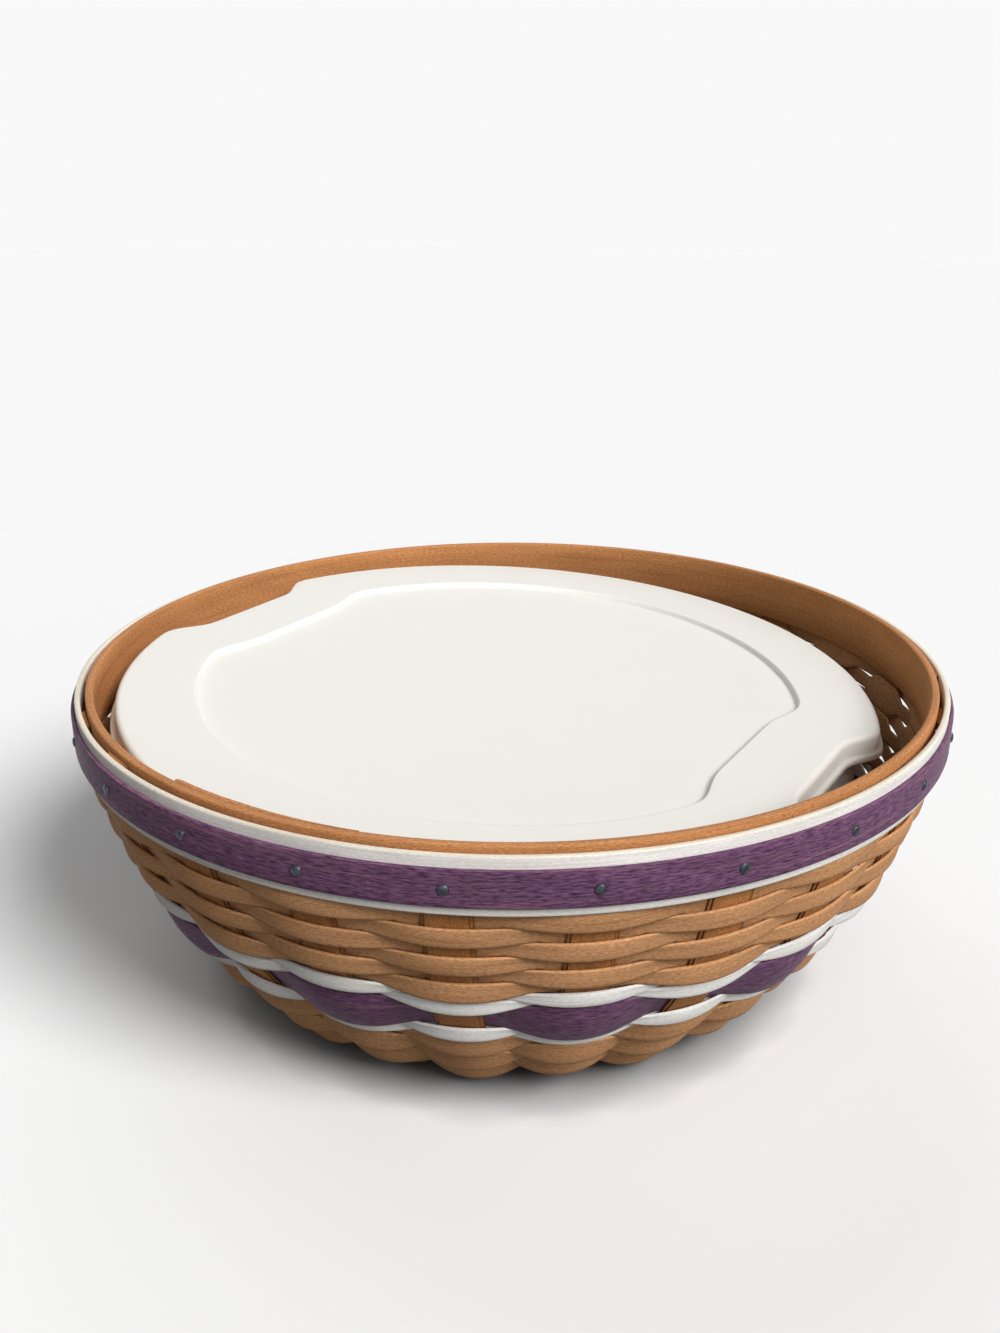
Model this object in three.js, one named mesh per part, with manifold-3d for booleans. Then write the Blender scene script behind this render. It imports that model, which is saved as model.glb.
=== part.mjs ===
// Lidded bowl basket: a round bowl woven from wood splint, with a clamped and tacked rim,
// a drop-in plastic liner and a lift-off plastic lid with two finger notches.
// Millimetres, +Z up, origin at the middle of the underside. The lid's notches point about along X.

import * as THREE from "three";
import { mergeVertices } from "three/addons/utils/BufferGeometryUtils.js";
import Module from "manifold-3d";

const wasm = await Module();
wasm.setup();

// Overall size
const RIM_RADIUS = 165; // outer face of the outer band
const RIM_HEIGHT = 122; // top edge of the outer band
const BASE_RADIUS = 82; // edge of the flat base
const FIT_GAP = 0.3; // between pieces that touch

// Splint stock
const STAKE_THICKNESS = 1.1;
const STAKE_WIDTH = 15.5;
const WEAVER_THICKNESS = 1.1;
const BROWN_WIDTH = 6.1; // row pitch of the upper brown weavers
const LOWER_WIDTH = 7.8; // row pitch of the lower brown weavers
const WHITE_WIDTH = 3.6; // row pitch of the white weavers
const PURPLE_WIDTH = 16.8; // row pitch of the purple weaver
const BASE_ROWS = 3; // wide brown weavers that fill the base
const ROW_GAP = 0.4; // between one row and the next
const WEAVE_CLEARANCE = 0.4; // between a weaver and the uprights, which bend in short flats

// Uprights: each stake crosses the base and stands up at both ends
const STAKES = 12;
const UPRIGHTS = 2 * STAKES;
const FIRST_UPRIGHT = -62.7; // degrees from +X
const HUB_RADIUS = 24; // inside this the stakes are piled one on another
const HUB_FOOT_RADIUS = 50; // outside this they all lie at one level
const WEAVE_END = 60; // the innermost weaver stops here
const HUB_THICKNESS = 0.5; // stakes are shaved thin where they cross
const HUB_WIDTH = 4;
const STAKE_SPACE = 2.2; // left between neighbours where they crowd together
// where a stake bends on its way down the wall, as fractions of the way to the edge of the base
const STAKE_BENDS = [0, 0.12, 0.24, 0.36, 0.47, 0.56, 0.64, 0.71, 0.78, 0.85, 0.92, 1];
const PLATEAU_MARGIN = 0.5; // a weaver lies straight this far past the edge of an upright
// how far the edge below a row bows, up or down, as the row passes out or in
const BROWN_BOW = 1;
const LOWER_BOW = 1.6;
const LAST_BROWN_BOW = 1.2;
const WHITE_BOW = 0.6;
const PURPLE_TOP_BOW = 1.3;
const PURPLE_BOW = 1.6;
const LOWER_WHITE_BOW = 0.4;
const LAST_WHITE_BOW = 0.9;

// Rim bands
const OUTER_BAND_THICKNESS = 2.1;
const OUTER_BAND_HEIGHT = 19;
const INNER_BAND_THICKNESS = 3;
const INNER_BAND_HEIGHT = 21;
const INNER_BAND_RISE = 2; // stands this far above the outer band
const TIP_DROP = 1.5; // tips of the uprights below the top of the outer band
const TRIM_THICKNESS = 1.2;
const TRIM_WIDTH = 11.5;
const TRIM_DROP = 2.5; // top of the trim below the top of the outer band
const BAND_FACETS = 2 * UPRIGHTS;

// Tacks, one through each upright
const TACK_DROP = 8.4; // below the top of the outer band
const TACK_HEAD_RADIUS = 1.8;
const TACK_HEAD_RISE = 0.8;
const TACK_SHANK_RADIUS = 0.65;
const TACK_POINT = 1.5; // length of the sharpened end
const TACK_HOLE = 1.9; // side of the square hole
const HOLE_OVERRUN = 8; // the cutter reaches this far past the bands
const TACK_SIDES = 5;

// Lid
const LID_SIDE_GAP = 11.2; // between the lid's top edge and the inner band
const LID_DROP = 10.6; // top of the lid below the top of the outer band
const LID_THICKNESS = 1.6;
const LID_SKIRT = 10;
const LID_LIP = 2; // lip at the foot of the skirt stands out this far
const LID_LIP_HEIGHT = 2.5;
const LID_EDGE = 1.6; // rounding of the top edge
const LID_RING = 29; // width of the raised ring round the panel
const PANEL_DEPTH = 3.4;
const PANEL_SLOPE = 1.6; // run of the step down to the panel
const NOTCH_DEPTH = 14.5; // the notch's straight edge inside the lid's circle
const NOTCH_HALF_LENGTH = 27.5;
const NOTCH_HALF_MOUTH = 41;
const PANEL_CUT = 14.5; // the panel's straight edge inside the panel's circle
const PANEL_HALF_LENGTH = 28.5;
const PANEL_HALF_MOUTH = 46;
const SIDE_STEPS = 6; // facets in each quarter of the round sides

// Liner
const LINER_THICKNESS = 1.5;
const LINER_FLANGE = 5;
const LINER_CLEARANCE = 14; // from the middle of the basket's wall
const LINER_FADE = 50; // height over which the finger notch fades into the wall
const LID_CLEARANCE = 0.4; // lid's skirt round the liner's flange
const LINER_CORNER_RISE = 3; // the chamfer round the liner's floor
const LINER_CORNER_RUN = 8;
const LINER_KNEE = 18; // height of the wall's bend above the floor
// the loose liner, with its lid, sits a little off the bowl's axis, turned and tilted
const LINER_SHIFT = new THREE.Vector2(-2.8, -3.8);
const LINER_TURN = THREE.MathUtils.degToRad(2.4);
const LINER_TILT = THREE.MathUtils.degToRad(3);

// Fits that follow from the sizes above
const WEAVE_OFFSET = STAKE_THICKNESS / 2 + WEAVE_CLEARANCE + WEAVER_THICKNESS / 2;
const BASE_LEVEL = WEAVE_OFFSET + WEAVER_THICKNESS / 2; // middle of the stakes over the base
const WALL_RADIUS = RIM_RADIUS - OUTER_BAND_THICKNESS - FIT_GAP - STAKE_THICKNESS / 2;
const BAND_BOTTOM = RIM_HEIGHT - OUTER_BAND_HEIGHT;
const WEAVE_TOP = BAND_BOTTOM - ROW_GAP;
const HUB_PITCH = HUB_THICKNESS + FIT_GAP;
const HUB_TOP = BASE_LEVEL + (STAKES - 1) * HUB_PITCH + HUB_THICKNESS / 2;
const TRIM_INNER = RIM_RADIUS + FIT_GAP;
const TRIM_OUTER = TRIM_INNER + TRIM_THICKNESS;
const INNER_BAND_OUTER = WALL_RADIUS - STAKE_THICKNESS / 2 - FIT_GAP;
const INNER_BAND_INNER = INNER_BAND_OUTER - INNER_BAND_THICKNESS;
const TACK_HEIGHT = RIM_HEIGHT - TACK_DROP;
const LID_TOP = RIM_HEIGHT - LID_DROP;
const LID_RADIUS = INNER_BAND_INNER - LID_SIDE_GAP;
const NOTCH_CHORD = LID_RADIUS - NOTCH_DEPTH;
const PANEL_RADIUS = LID_RADIUS - LID_RING;
const PANEL_CHORD = PANEL_RADIUS - PANEL_CUT;

// Materials
function finish(color, roughness, metalness = 0) {
  return new THREE.MeshStandardMaterial({ color, roughness, metalness });
}
const brownSplint = () => finish(0xb5844f, 0.6);
const whiteSplint = () => finish(0xe9e4da, 0.6);
const purpleSplint = () => finish(0x5d4059, 0.6);

// A closed body through sections of equal point count, joined end to end or capped.
function sweep(sections, isLoop) {
  const sides = sections[0].length;
  const points = sections.flat();
  const faces = [];
  const spans = isLoop ? sections.length : sections.length - 1;
  for (let i = 0; i < spans; i++) {
    const here = i * sides;
    const next = ((i + 1) % sections.length) * sides;
    for (let j = 0; j < sides; j++) {
      const k = (j + 1) % sides;
      faces.push(here + j, next + j, next + k, here + j, next + k, here + k);
    }
  }
  if (!isLoop) {
    const last = (sections.length - 1) * sides;
    for (const [start, turned] of [[0, false], [last, true]]) {
      const middle = points.length;
      const ring = points.slice(start, start + sides);
      points.push(ring.reduce((sum, p) => sum.add(p), new THREE.Vector3()).divideScalar(sides));
      for (let j = 0; j < sides; j++) {
        const k = (j + 1) % sides;
        faces.push(middle, start + (turned ? k : j), start + (turned ? j : k));
      }
    }
  }
  return outward(points, faces);
}

// A geometry with its faces turned to point out.
function outward(points, faces) {
  let volume = 0;
  for (let i = 0; i < faces.length; i += 3) {
    const [a, b, c] = [points[faces[i]], points[faces[i + 1]], points[faces[i + 2]]];
    volume += a.dot(new THREE.Vector3().crossVectors(b, c));
  }
  const geometry = new THREE.BufferGeometry().setFromPoints(points);
  geometry.setIndex(volume < 0 ? faces.toReversed() : faces);
  return geometry;
}

function solidOf(geometry) {
  const bare = new THREE.BufferGeometry();
  bare.setAttribute("position", geometry.getAttribute("position"));
  bare.setIndex(geometry.index);
  const merged = mergeVertices(bare, 1e-4);
  return new wasm.Manifold(
    new wasm.Mesh({
      numProp: 3,
      vertProperties: new Float32Array(merged.getAttribute("position").array),
      triVerts: new Uint32Array(merged.index.array),
    }),
  );
}

function cutAway(geometry, cutters) {
  const mesh = solidOf(geometry).subtract(wasm.Manifold.union(cutters.map(solidOf))).getMesh();
  const result = new THREE.BufferGeometry();
  result.setAttribute("position", new THREE.BufferAttribute(mesh.vertProperties, 3));
  result.setIndex(new THREE.BufferAttribute(mesh.triVerts, 1));
  return result;
}

function uprightAngle(index) {
  return THREE.MathUtils.degToRad(FIRST_UPRIGHT + (360 / UPRIGHTS) * index);
}

// A point from its distance along a direction, its distance to the left of it, and its height.
function place(angle, along, aside, height) {
  const [c, s] = [Math.cos(angle), Math.sin(angle)];
  return new THREE.Vector3(along * c - aside * s, along * s + aside * c, height);
}

// The bowl's profile, the middle of the uprights, from the foot of the outer band to the base:
// how far in towards the base's edge and how far down towards its level, as fractions
const PROFILE_STEPS = 100; // fine steps in each span of the profile when it is measured
const PROFILE_SHAPE = [
  [0, 0],
  [0.07, 0.19],
  [0.179, 0.41],
  [0.317, 0.585],
  [0.487, 0.772],
  [0.687, 0.94],
  [0.85, 0.974],
  [1, 1],
];
const profileEdge = PROFILE_SHAPE.map(
  ([inward, down]) =>
    new THREE.Vector2(
      THREE.MathUtils.lerp(WALL_RADIUS, BASE_RADIUS, inward),
      THREE.MathUtils.lerp(BAND_BOTTOM, BASE_LEVEL, down),
    ),
);
const profileBase = [0.5, 1].map(
  (inward) => new THREE.Vector2(THREE.MathUtils.lerp(BASE_RADIUS, WEAVE_END, inward), BASE_LEVEL),
);
const profile = new THREE.SplineCurve([...profileEdge, ...profileBase]);
const PROFILE_LENGTH = profile.getLength();
const profileSpans = profileEdge.length + profileBase.length - 1;
const WALL_LENGTH = profile.getLengths(PROFILE_STEPS * profileSpans)[PROFILE_STEPS * (profileEdge.length - 1)];

// Radius, height and outward direction of the wall at a distance down the profile.
function wallAt(distance) {
  const along = THREE.MathUtils.clamp(distance / PROFILE_LENGTH, 0, 1);
  const point = profile.getPointAt(along);
  const tangent = profile.getTangentAt(along);
  const isBase = point.y <= BASE_LEVEL;
  return {
    r: point.x,
    z: isBase ? BASE_LEVEL : point.y,
    outR: isBase ? 0 : -tangent.y,
    outZ: isBase ? -1 : tangent.x,
  };
}

function wallRadiusAt(height) {
  let [low, high] = [0, PROFILE_LENGTH];
  for (let i = 0; i < 40; i++) {
    const middle = (low + high) / 2;
    if (wallAt(middle).z > height) low = middle;
    else high = middle;
  }
  return wallAt(low).r;
}

// Width of a stake at a distance from the middle of the base.
function stakeWidth(radius) {
  const crowded = (2 * Math.PI * radius) / UPRIGHTS - STAKE_SPACE;
  return THREE.MathUtils.clamp(crowded, HUB_WIDTH, STAKE_WIDTH);
}

// Half a stake, from its tip at the rim down the wall and over the base to the middle.
function halfStake(layer) {
  const tip = RIM_HEIGHT - TIP_DROP;
  const stations = [{ r: WALL_RADIUS, z: tip, outR: 1, outZ: 0, thickness: STAKE_THICKNESS }];
  for (const bend of STAKE_BENDS)
    stations.push({ ...wallAt(bend * WALL_LENGTH), thickness: STAKE_THICKNESS });
  const hubLevel = BASE_LEVEL + layer * HUB_PITCH;
  for (const [r, z, thickness] of [
    [HUB_FOOT_RADIUS, BASE_LEVEL, STAKE_THICKNESS],
    [HUB_RADIUS, hubLevel, HUB_THICKNESS],
  ])
    stations.push({ r, z, outR: 0, outZ: -1, thickness });
  return stations;
}

function stakeGeometry(index) {
  const angle = uprightAngle(index);
  const half = halfStake(index);
  const whole = [
    ...half.map((s) => ({ ...s, width: stakeWidth(s.r) })),
    ...half.toReversed().map((s) => ({ ...s, r: -s.r, outR: -s.outR, width: stakeWidth(s.r) })),
  ];
  const sections = whole.map((s) =>
    [[1, 1], [-1, 1], [-1, -1], [1, -1]].map(([side, face]) =>
      place(
        angle,
        s.r + (face * s.outR * s.thickness) / 2,
        (side * s.width) / 2,
        s.z + (face * s.outZ * s.thickness) / 2,
      ),
    ),
  );
  return cutAway(sweep(sections, false), [tackHole(index), tackHole(index + STAKES)]);
}

// Edge between two rows: it bows towards the row that is behind at each upright.
function edgeAt(edge, upright) {
  const upperIsOver = (upright + edge.upperRow) % 2 === 1;
  return edge.distance + (upperIsOver ? edge.bow : -edge.bow);
}

// One row of weaving, a closed hoop that goes over and under the uprights in turn.
function weaverGeometry(row, upper, lower, spans) {
  const middle = wallAt((upper.distance + lower.distance) / 2);
  const reach = stakeWidth(middle.r) / 2 + PLATEAU_MARGIN;
  const sections = [];
  for (let upright = 0; upright < UPRIGHTS; upright++) {
    const isOver = (upright + row) % 2 === 1;
    const top = edgeAt(upper, upright) + ROW_GAP / 2;
    const bottom = edgeAt(lower, upright) - ROW_GAP / 2;
    for (const side of [-1, 1]) {
      const faces = [-1, 1].map((face) => {
        const offset = (isOver ? WEAVE_OFFSET : -WEAVE_OFFSET) + (face * WEAVER_THICKNESS) / 2;
        return Array.from({ length: spans + 1 }, (_, i) => {
          const w = wallAt(THREE.MathUtils.lerp(top, bottom, i / spans));
          const along = w.r + offset * w.outR;
          return place(uprightAngle(upright), along, side * reach, w.z + offset * w.outZ);
        });
      });
      sections.push([...faces[0], ...faces[1].toReversed()]);
    }
  }
  return sweep(sections, true);
}

// A flat-sided hoop whose faces lie square to the uprights.
function hoopGeometry(innerRadius, outerRadius, bottom, top) {
  const stretch = 1 / Math.cos(Math.PI / BAND_FACETS);
  const sections = Array.from({ length: BAND_FACETS }, (_, i) => {
    const angle = uprightAngle(0) + ((i + 0.5) * 2 * Math.PI) / BAND_FACETS;
    return [
      place(angle, innerRadius * stretch, 0, bottom),
      place(angle, outerRadius * stretch, 0, bottom),
      place(angle, outerRadius * stretch, 0, top),
      place(angle, innerRadius * stretch, 0, top),
    ];
  });
  return sweep(sections, true);
}

function tackHole(upright) {
  const length = TRIM_OUTER - INNER_BAND_INNER + 2 * HOLE_OVERRUN;
  const hole = new THREE.BoxGeometry(length, TACK_HOLE, TACK_HOLE);
  hole.rotateZ(uprightAngle(upright));
  const middle = place(uprightAngle(upright), (TRIM_OUTER + INNER_BAND_INNER) / 2, 0, TACK_HEIGHT);
  return hole.translate(middle.x, middle.y, middle.z);
}
const tackHoles = Array.from({ length: UPRIGHTS }, (_, i) => tackHole(i));

// A tack along its own Y axis, with the underside of its head at the origin.
function tackGeometry() {
  const length = TRIM_OUTER - INNER_BAND_INNER;
  const outline = [
    [0, -length],
    [TACK_SHANK_RADIUS, TACK_POINT - length],
    [TACK_SHANK_RADIUS, 0],
    [TACK_HEAD_RADIUS, 0],
    [0.7 * TACK_HEAD_RADIUS, TACK_HEAD_RISE],
    [0, TACK_HEAD_RISE],
  ].map(([r, y]) => new THREE.Vector2(r, y));
  return new THREE.LatheGeometry(outline, TACK_SIDES);
}

// Points of the lid's quarter outline where its curve changes, used to space the rings of points
function notchAngles() {
  const mouth = Math.atan2(NOTCH_HALF_MOUTH, Math.sqrt(LID_RADIUS ** 2 - NOTCH_HALF_MOUTH ** 2));
  const floor = Math.atan2(NOTCH_HALF_LENGTH, NOTCH_CHORD);
  const panelMouth = Math.atan2(
    PANEL_HALF_MOUTH,
    Math.sqrt(PANEL_RADIUS ** 2 - PANEL_HALF_MOUTH ** 2),
  );
  const panelFloor = Math.atan2(PANEL_HALF_LENGTH, PANEL_CHORD);
  const rest = Array.from({ length: SIDE_STEPS }, (_, i) =>
    THREE.MathUtils.lerp(panelMouth, Math.PI / 2, (i + 1) / SIDE_STEPS),
  );
  return [0, floor, mouth, panelFloor, panelMouth, ...rest].sort((a, b) => a - b);
}
const quarterAngles = notchAngles();
const halfAngles = [
  ...quarterAngles,
  ...quarterAngles.slice(0, -1).toReversed().map((a) => Math.PI - a),
];
const OUTLINE_ANGLES = [...halfAngles.slice(0, -1), ...halfAngles.slice(0, -1).map((a) => a + Math.PI)];

// Radius of a circle with a straight cut across it at each end of the X axis.
function cutCircle(angle, radius, chord, halfLength, halfMouth) {
  const fold = Math.abs(Math.atan2(Math.sin(angle), Math.abs(Math.cos(angle))));
  const floorAngle = Math.atan2(halfLength, chord);
  const mouthX = Math.sqrt(radius ** 2 - halfMouth ** 2);
  const mouthAngle = Math.atan2(halfMouth, mouthX);
  if (fold >= mouthAngle) return radius;
  if (fold <= floorAngle) return chord / Math.cos(fold);
  const [dx, dy] = [mouthX - chord, halfMouth - halfLength];
  return (chord * dy - halfLength * dx) / (Math.cos(fold) * dy - Math.sin(fold) * dx);
}
const lidOutline = (angle) =>
  cutCircle(angle, LID_RADIUS, NOTCH_CHORD, NOTCH_HALF_LENGTH, NOTCH_HALF_MOUTH);
const panelOutline = (angle) =>
  cutCircle(angle, PANEL_RADIUS, PANEL_CHORD, PANEL_HALF_LENGTH, PANEL_HALF_MOUTH);

function outlineRing(radiusAt, height) {
  return OUTLINE_ANGLES.map((angle) => place(angle, radiusAt(angle), 0, height));
}

function lidGeometry() {
  const grown = (outline, by) => (angle) => outline(angle) + by;
  const inside = LID_TOP - LID_THICKNESS;
  const foot = LID_TOP - LID_SKIRT;
  const rings = [
    [grown(panelOutline, -PANEL_SLOPE), LID_TOP - PANEL_DEPTH],
    [panelOutline, LID_TOP],
    [grown(lidOutline, -LID_EDGE), LID_TOP],
    [lidOutline, LID_TOP - LID_EDGE],
    [lidOutline, foot + LID_LIP_HEIGHT],
    [grown(lidOutline, LID_LIP), foot + LID_LIP_HEIGHT],
    [grown(lidOutline, LID_LIP), foot],
    [grown(lidOutline, -LID_THICKNESS), foot],
    [grown(lidOutline, -LID_THICKNESS), inside],
    [grown(panelOutline, LID_THICKNESS), inside],
    [grown(panelOutline, LID_THICKNESS - PANEL_SLOPE), inside - PANEL_DEPTH],
  ];
  return sweep(rings.map(([outline, height]) => outlineRing(outline, height)), false);
}

// Height of the liner's floor on its own axis, where the tilted floor clears each stake of the pile.
function linerFloor() {
  const slope = Math.tan(LINER_TILT);
  const lean = LINER_SHIFT.x - (LID_TOP - HUB_TOP) * slope;
  const seats = Array.from({ length: STAKES }, (_, layer) => {
    const top = BASE_LEVEL + layer * HUB_PITCH + HUB_THICKNESS / 2;
    const reach = HUB_RADIUS * Math.abs(Math.cos(uprightAngle(layer))) + HUB_WIDTH / 2;
    return top + FIT_GAP + slope * (reach - lean);
  });
  return LID_TOP - (LID_TOP - Math.max(...seats)) / Math.cos(LINER_TILT);
}

function linerGeometry() {
  const flangeTop = LID_TOP - LID_THICKNESS - FIT_GAP;
  const flange = (angle) => lidOutline(angle) - LID_THICKNESS - LID_CLEARANCE;
  const topRadius = LID_RADIUS - LID_THICKNESS - LID_CLEARANCE - LINER_FLANGE;
  const floor = linerFloor();
  const wall = (height) => (angle) => {
    const fade = THREE.MathUtils.clamp(1 - (flangeTop - height) / LINER_FADE, 0, 1);
    const dent = (LID_RADIUS - lidOutline(angle)) * fade;
    return Math.min(topRadius, wallRadiusAt(height) - LINER_CLEARANCE) - dent;
  };
  const under = flangeTop - LINER_THICKNESS;
  const heights = [floor + LINER_CORNER_RISE, floor + LINER_KNEE, flangeTop - LINER_FADE, under];
  const corner = (angle) => wall(heights[0])(angle) - LINER_CORNER_RUN;
  const thinner = (outline) => (angle) => outline(angle) - LINER_THICKNESS;
  const rings = [
    [corner, floor],
    ...heights.map((h) => [wall(h), h]),
    [flange, under],
    [flange, flangeTop],
    [thinner(wall(under)), flangeTop],
    ...heights.slice(0, -1).toReversed().map((h) => [thinner(wall(h)), h]),
    [thinner(corner), floor + LINER_THICKNESS],
  ];
  return sweep(rings.map(([outline, height]) => outlineRing(outline, height)), false);
}

// Assembly
const basket = new THREE.Group();

function add(name, geometry, material, parent = basket) {
  const mesh = new THREE.Mesh(geometry, material);
  mesh.name = name;
  parent.add(mesh);
  return mesh;
}

for (let i = 0; i < STAKES; i++)
  add(`stake_${String(i + 1).padStart(2, "0")}`, stakeGeometry(i), brownSplint());

// Rows from the rim down: name, width, material and how far the edge below the row bows
const rows = [
  ...[1, 2, 3, 4, 5].map((n) => [`brown_weaver_${n}`, BROWN_WIDTH, brownSplint, BROWN_BOW]),
  ["brown_weaver_6", BROWN_WIDTH, brownSplint, LAST_BROWN_BOW],
  ["white_weaver_1", WHITE_WIDTH, whiteSplint, WHITE_BOW],
  ["white_weaver_2", WHITE_WIDTH, whiteSplint, PURPLE_TOP_BOW],
  ["purple_weaver", PURPLE_WIDTH, purpleSplint, PURPLE_BOW],
  ["white_weaver_3", WHITE_WIDTH, whiteSplint, LOWER_WHITE_BOW],
  ["white_weaver_4", WHITE_WIDTH, whiteSplint, LAST_WHITE_BOW],
  ...[1, 2, 3, 4, 5].map((n) => [`lower_weaver_${n}`, LOWER_WIDTH, brownSplint, LOWER_BOW]),
];
const weaveStart = BAND_BOTTOM - WEAVE_TOP;
const baseStart = rows.reduce((sum, [, width]) => sum + width, weaveStart);
for (let n = 1; n <= BASE_ROWS; n++)
  rows.push([`base_weaver_${n}`, (PROFILE_LENGTH - baseStart) / BASE_ROWS, brownSplint, 0]);
let upper = { distance: weaveStart, bow: 0, upperRow: -1 };
rows.forEach(([name, width, material, bow], row) => {
  const lower = { distance: upper.distance + width, bow, upperRow: row };
  const spans = wallAt(upper.distance).z > BASE_LEVEL && width > LOWER_WIDTH ? 2 : 1;
  add(name, weaverGeometry(row, upper, lower, spans), material());
  upper = lower;
});

const innerTop = RIM_HEIGHT + INNER_BAND_RISE;
const innerBand = hoopGeometry(
  INNER_BAND_INNER,
  INNER_BAND_OUTER,
  innerTop - INNER_BAND_HEIGHT,
  innerTop,
);
const outerBand = hoopGeometry(
  RIM_RADIUS - OUTER_BAND_THICKNESS,
  RIM_RADIUS,
  BAND_BOTTOM,
  RIM_HEIGHT,
);
const trimTop = RIM_HEIGHT - TRIM_DROP;
const trimStrip = hoopGeometry(TRIM_INNER, TRIM_OUTER, trimTop - TRIM_WIDTH, trimTop);
add("inner_band", cutAway(innerBand, tackHoles), finish(0xbe9062, 0.55));
add("outer_band", cutAway(outerBand, tackHoles), whiteSplint());
add("trim_strip", cutAway(trimStrip, tackHoles), purpleSplint());

for (let i = 0; i < UPRIGHTS; i++) {
  const steel = finish(0x6a7079, 0.45, 0.9);
  const tack = add(`tack_${String(i + 1).padStart(2, "0")}`, tackGeometry(), steel);
  tack.rotation.set(0, 0, uprightAngle(i) - Math.PI / 2);
  tack.position.copy(place(uprightAngle(i), TRIM_OUTER + FIT_GAP, 0, TACK_HEIGHT));
}

// The liner and lid are turned and tilted together about the middle of the lid's top
const tilted = new THREE.Group();
tilted.position.set(LINER_SHIFT.x, LINER_SHIFT.y, LID_TOP);
tilted.rotation.y = LINER_TILT;
basket.add(tilted);
const insert = new THREE.Group();
insert.position.z = -LID_TOP;
insert.rotation.z = LINER_TURN;
tilted.add(insert);
add("liner", linerGeometry(), finish(0xe6e8e6, 0.3), insert);
add("lid", lidGeometry(), finish(0xf1efe6, 0.4), insert);

export default basket;
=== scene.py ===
import math

import bpy
import numpy as np
from mathutils import Matrix, Vector


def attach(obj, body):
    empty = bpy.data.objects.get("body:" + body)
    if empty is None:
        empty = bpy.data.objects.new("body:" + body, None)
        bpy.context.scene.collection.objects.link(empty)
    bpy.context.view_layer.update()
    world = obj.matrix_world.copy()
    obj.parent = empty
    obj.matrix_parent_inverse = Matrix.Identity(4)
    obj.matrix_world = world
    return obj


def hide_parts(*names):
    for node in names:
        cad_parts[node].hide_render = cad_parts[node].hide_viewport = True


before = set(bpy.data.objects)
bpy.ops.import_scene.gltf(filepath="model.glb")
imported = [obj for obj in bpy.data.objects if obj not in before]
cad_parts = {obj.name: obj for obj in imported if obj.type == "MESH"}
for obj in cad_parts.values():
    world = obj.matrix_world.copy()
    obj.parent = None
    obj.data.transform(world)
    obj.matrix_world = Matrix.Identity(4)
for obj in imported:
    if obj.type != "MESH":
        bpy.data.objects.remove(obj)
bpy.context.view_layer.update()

# Sizes below are in millimetres, as in the part's source, and meshes are made in metres
MM = 0.001

# Rim and bowl
RIM_RADIUS = 165.0
RIM_HEIGHT = 122.0
BASE_RADIUS = 82.0
WEAVE_END = 60.0  # radius where the weaving under the base ends
FIT_GAP = 0.3

# The bowl's profile from the rim band to the base, as in the part's source: shares inward and down
PROFILE_SHAPE = (
    (0, 0),
    (0.07, 0.19),
    (0.179, 0.41),
    (0.317, 0.585),
    (0.487, 0.772),
    (0.687, 0.94),
    (0.85, 0.974),
    (1, 1),
)

# Stakes, which stand up as two uprights each
STAKES = 12
UPRIGHTS = 2 * STAKES
FIRST_UPRIGHT = math.radians(-62.7)
SPACING = 2 * math.pi / UPRIGHTS
STAKE_THICKNESS = 1.1
STAKE_WIDTH = 15.5
STAKE_SPACE = 2.2  # kept between neighbouring stakes where they narrow towards the middle
STAKE_RUN = 0.92  # share of the profile that a stake follows before it runs in to the pile
PLY_STEP = 1.1  # the inner ply of an upright shows this much at each side of the outer one
PLY_GAP = 0.02  # from a stake's middle to each ply, as a share of its thickness
TIP_DROP = 1.5  # of the uprights' tips below the rim
TIP_UNEVENNESS = 0.9
TIP_PHASE = 2.3  # radians of that unevenness from stake to stake
HUB_RADIUS = 24.0  # the stakes lie one on another inside this radius
HUB_FOOT_RADIUS = 50.0  # and start to rise to their place in the pile here
HUB_THICKNESS = 0.5
HUB_WIDTH = 4.0

# Weavers
WEAVER_THICKNESS = 1.1
WEAVE_CLEARANCE = 0.4
BROWN_WIDTH = 6.1
LOWER_WIDTH = 7.8
WHITE_WIDTH = 3.6
PURPLE_WIDTH = 16.8
BASE_ROWS = 3
ROW_GAP = 0.4  # between the rim band and the first row in the part's source, taken up by that row here
SPLINT = 0.95  # thickness of a finished weaver
CROWN = 0.3  # a weaver swells this much over the middle of an upright
ROUNDNESS = 0.7  # share of a plain wave in the way a weaver swings from side to side
CAMBER = 0.045  # a weaver outside the uprights is rounded by this share of its width
TIGHT_OFFSET = 1.1  # from the uprights to the weavers' middle, drawn tight near the rim
LOOSE_OFFSET = 1.5  # the same low on the wall
LOOSE_DISTANCE = 110.0  # down the wall, where the weavers are loosest
TUCK = 0.55  # share of a row's width by which its neighbours reach behind it
TUCK_START = 0.45  # how far inside, of 1, a row begins to reach behind its neighbours
TUCK_FULL = 0.9  # and how far inside it has its full reach
EDGE_GAP = 0.3  # between the edges of two rows, where they change places
STAND = 0.6  # a row stands more upright than the wall, by this share of the wall's lean
STAND_OUT = 2.2  # and its lower edge stands out no further than this
DRIFT = 0.1  # unevenness of a row's height
DRIFT_WAVES = ((3, 1.7, 1.0), (7, 2.9, 0.7), (12, 1.0, 0.5))  # waves to a turn, lag to the next row, share
BACK_UPRIGHT = 12  # the rows of weaving start at this upright, which is out of sight

# How far the edge below a row bows, down where the row is outside and up where it is inside
BROWN_BOW = 0.35
LAST_BROWN_BOW = 1.2
WHITE_BOW = 0.6
PURPLE_TOP_BOW = 1.3
PURPLE_BOW = 1.6
LOWER_WHITE_BOW = 0.4
LAST_WHITE_BOW = 0.9
LOWER_BOW = 1.6

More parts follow.
